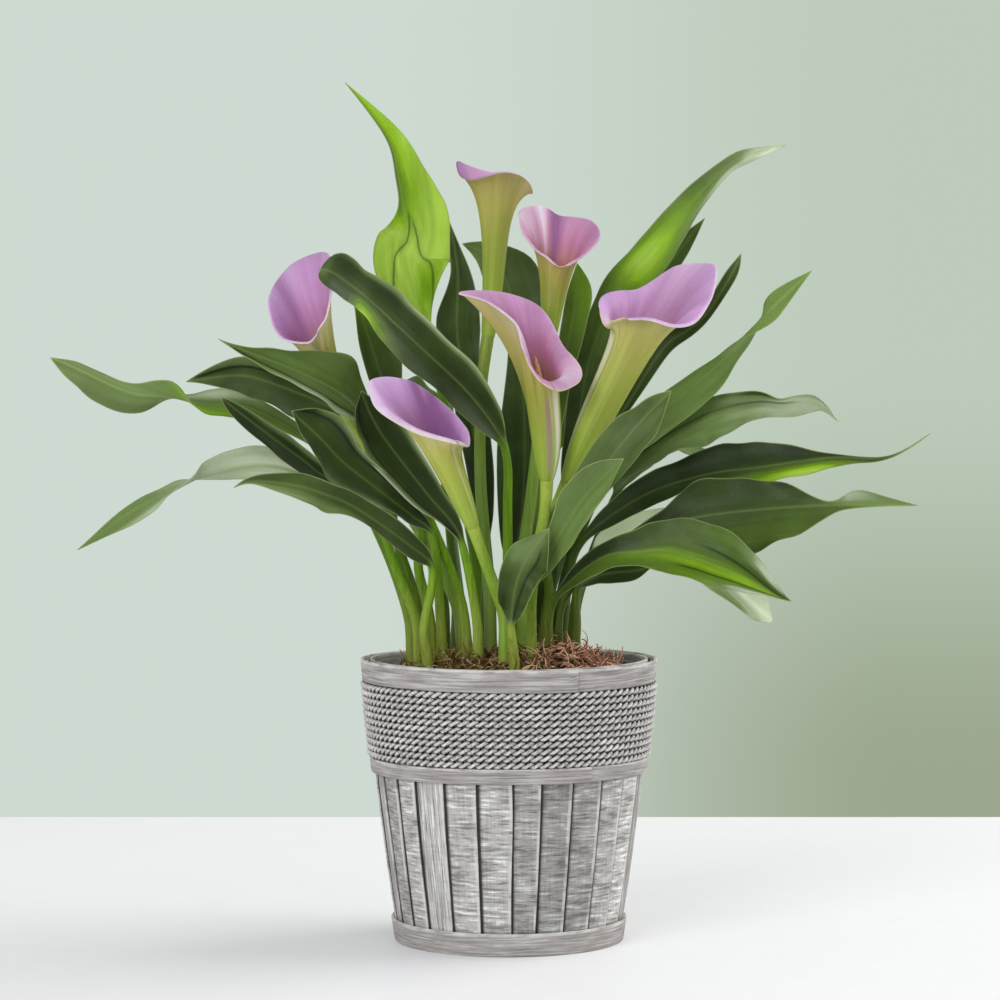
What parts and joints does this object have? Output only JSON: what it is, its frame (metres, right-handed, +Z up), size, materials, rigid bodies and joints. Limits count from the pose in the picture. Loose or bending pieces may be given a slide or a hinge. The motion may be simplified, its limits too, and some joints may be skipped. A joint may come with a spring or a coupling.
{
  "type": "potted calla lily",
  "caption": "Calla lily with lance-shaped leaves and rolled trumpet flowers, in a nursery pot inside a slatted, rope-wrapped wooden basket.",
  "frame": {"origin": "centre of the flat underside of the basket's base board", "axes": "+Z up the plant, -Y towards the plant's front, +X to the front view's right"},
  "size_m": [0.5272, 0.3089, 0.5165],
  "materials": {
    "whitewashed_wood": "matte",
    "rope": "matte",
    "liner_film": "satin",
    "black_plastic": "satin",
    "soil": "matte",
    "moss": "matte",
    "leaf": "satin",
    "stem": "satin",
    "spathe": "satin",
    "spadix": "matte"
  },
  "bodies": {
    "root": {"basket_base_board": "whitewashed_wood", "basket_bottom_hoop": "whitewashed_wood", "basket_inner_hoop": "whitewashed_wood", "basket_middle_hoop": "whitewashed_wood", "basket_rope_wrap": "rope", "basket_slat_wall": "whitewashed_wood", "basket_top_hoop": "whitewashed_wood", "flower_left_spadix": "spadix", "flower_left_spathe": "spathe", "flower_left_stem": "stem", "flower_low_spadix": "spadix", "flower_low_spathe": "spathe", "flower_low_stem": "stem", "flower_middle_spadix": "spadix", "flower_middle_spathe": "spathe", "flower_middle_stem": "stem", "flower_right_spadix": "spadix", "flower_right_spathe": "spathe", "flower_right_stem": "stem", "flower_top_spadix": "spadix", "flower_top_spathe": "spathe", "flower_top_stem": "stem", "flower_upper_spadix": "spadix", "flower_upper_spathe": "spathe", "flower_upper_stem": "stem", "leaf_arching_front": "leaf", "leaf_behind_low_flower": "leaf", "leaf_big_dark_right": "leaf", "leaf_big_left": "leaf", "leaf_bright_low": "leaf", "leaf_bright_point": "leaf", "leaf_broad_middle": "leaf", "leaf_curly_right": "leaf", "leaf_dark_middle": "leaf", "leaf_far_left": "leaf", "leaf_front_centre": "leaf", "leaf_front_small": "leaf", "leaf_grey_back": "leaf", "leaf_left_dark": "leaf", "leaf_long_dark": "leaf", "leaf_low_left": "leaf", "leaf_low_left_front": "leaf", "leaf_narrow_left": "leaf", "leaf_over_left_flower": "leaf", "leaf_pale_hanging": "leaf", "leaf_rear_left": "leaf", "leaf_rear_middle": "leaf", "leaf_rear_right": "leaf", "leaf_slender_right": "leaf", "leaf_small_left": "leaf", "leaf_small_low": "leaf", "leaf_tall_back": "leaf", "leaf_twisted_right": "leaf", "leaf_upright_behind": "leaf", "leaf_upright_right": "leaf", "moss_mulch": "moss", "nursery_pot": "black_plastic", "plastic_liner": "liner_film", "potting_soil": "soil"}
  },
  "joints": []
}
